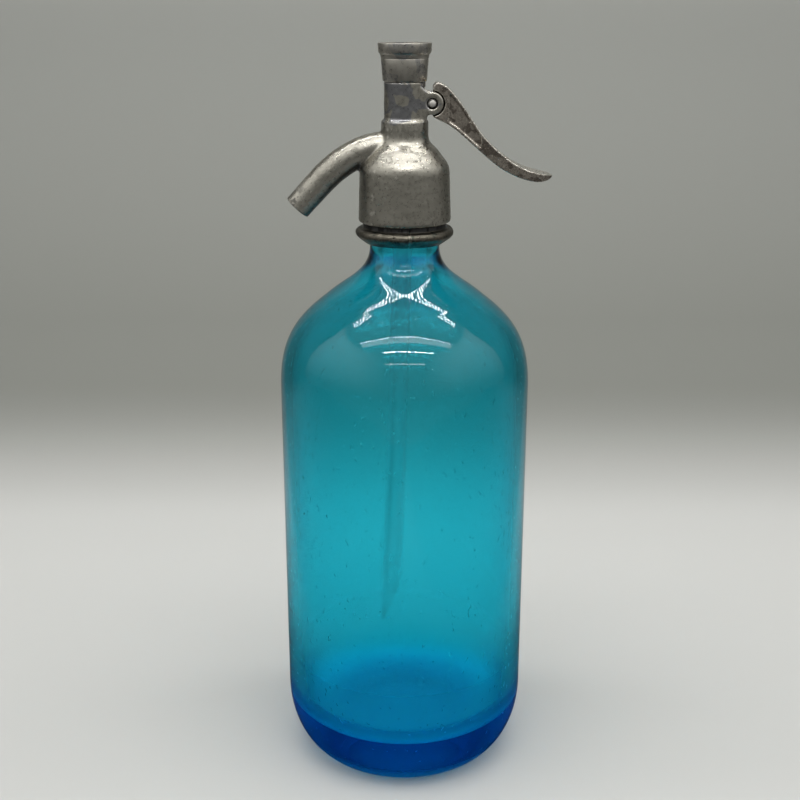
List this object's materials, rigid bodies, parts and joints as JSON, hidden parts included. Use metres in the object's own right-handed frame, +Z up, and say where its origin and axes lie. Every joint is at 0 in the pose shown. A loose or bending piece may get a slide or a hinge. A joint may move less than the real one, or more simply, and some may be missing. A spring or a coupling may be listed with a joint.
{
  "type": "soda siphon",
  "caption": "Glass soda siphon with a cast valve head, curved spout and a thumb lever that lifts a sprung valve.",
  "frame": {"origin": "on the resting plane, at the bottle's axis", "axes": "+Z up along the bottle, -X towards the spout, +X towards the lever, so the spout and lever lie in the XZ plane"},
  "size_m": [0.109, 0.102, 0.3015],
  "materials": {
    "tinted_glass": "gloss",
    "clear_glass": "gloss",
    "cast_metal": "satin",
    "cap_metal": "satin",
    "collar_metal": "satin",
    "lever_metal": "satin",
    "bright_steel": "satin",
    "brass": "satin",
    "red_rubber": "matte",
    "leather": "matte"
  },
  "bodies": {
    "siphon_body": {"bottle": "tinted_glass", "collar_left": "collar_metal", "collar_right": "collar_metal", "neck_washer": "red_rubber", "tube_ferrule": "brass", "tube_sleeve": "red_rubber", "dip_tube": "clear_glass", "head_body": "cast_metal", "gland_packing": "leather", "gland_nut": "brass", "top_cap": "cap_metal", "cap_washer": "leather", "spring_washer": "bright_steel", "return_spring": "bright_steel", "lever_pin": "bright_steel"},
    "lever_arm": {"lever": "lever_metal"},
    "valve_stem": {"plunger": "brass", "valve_holder": "brass", "valve_disc": "red_rubber", "valve_screw": "bright_steel"}
  },
  "joints": [
    {"name": "lever_pivot", "type": "hinge", "parent": "siphon_body", "child": "lever_arm", "pos_m": [0.0106, 0, 0.2792], "axis": [0, 1, 0], "range_deg": [0, 16], "stiffness_Nm_per_rad": 0.67, "springref_deg": -18.91},
    {"name": "valve_lift", "type": "slide", "parent": "siphon_body", "child": "valve_stem", "axis": [0, 0, 1], "range_m": [0, 0.00296], "deforming": ["return_spring"]}
  ],
  "couplings": [
    {"joint": "valve_lift", "follows": "lever_pivot", "m_per_rad": 0.010566}
  ]
}
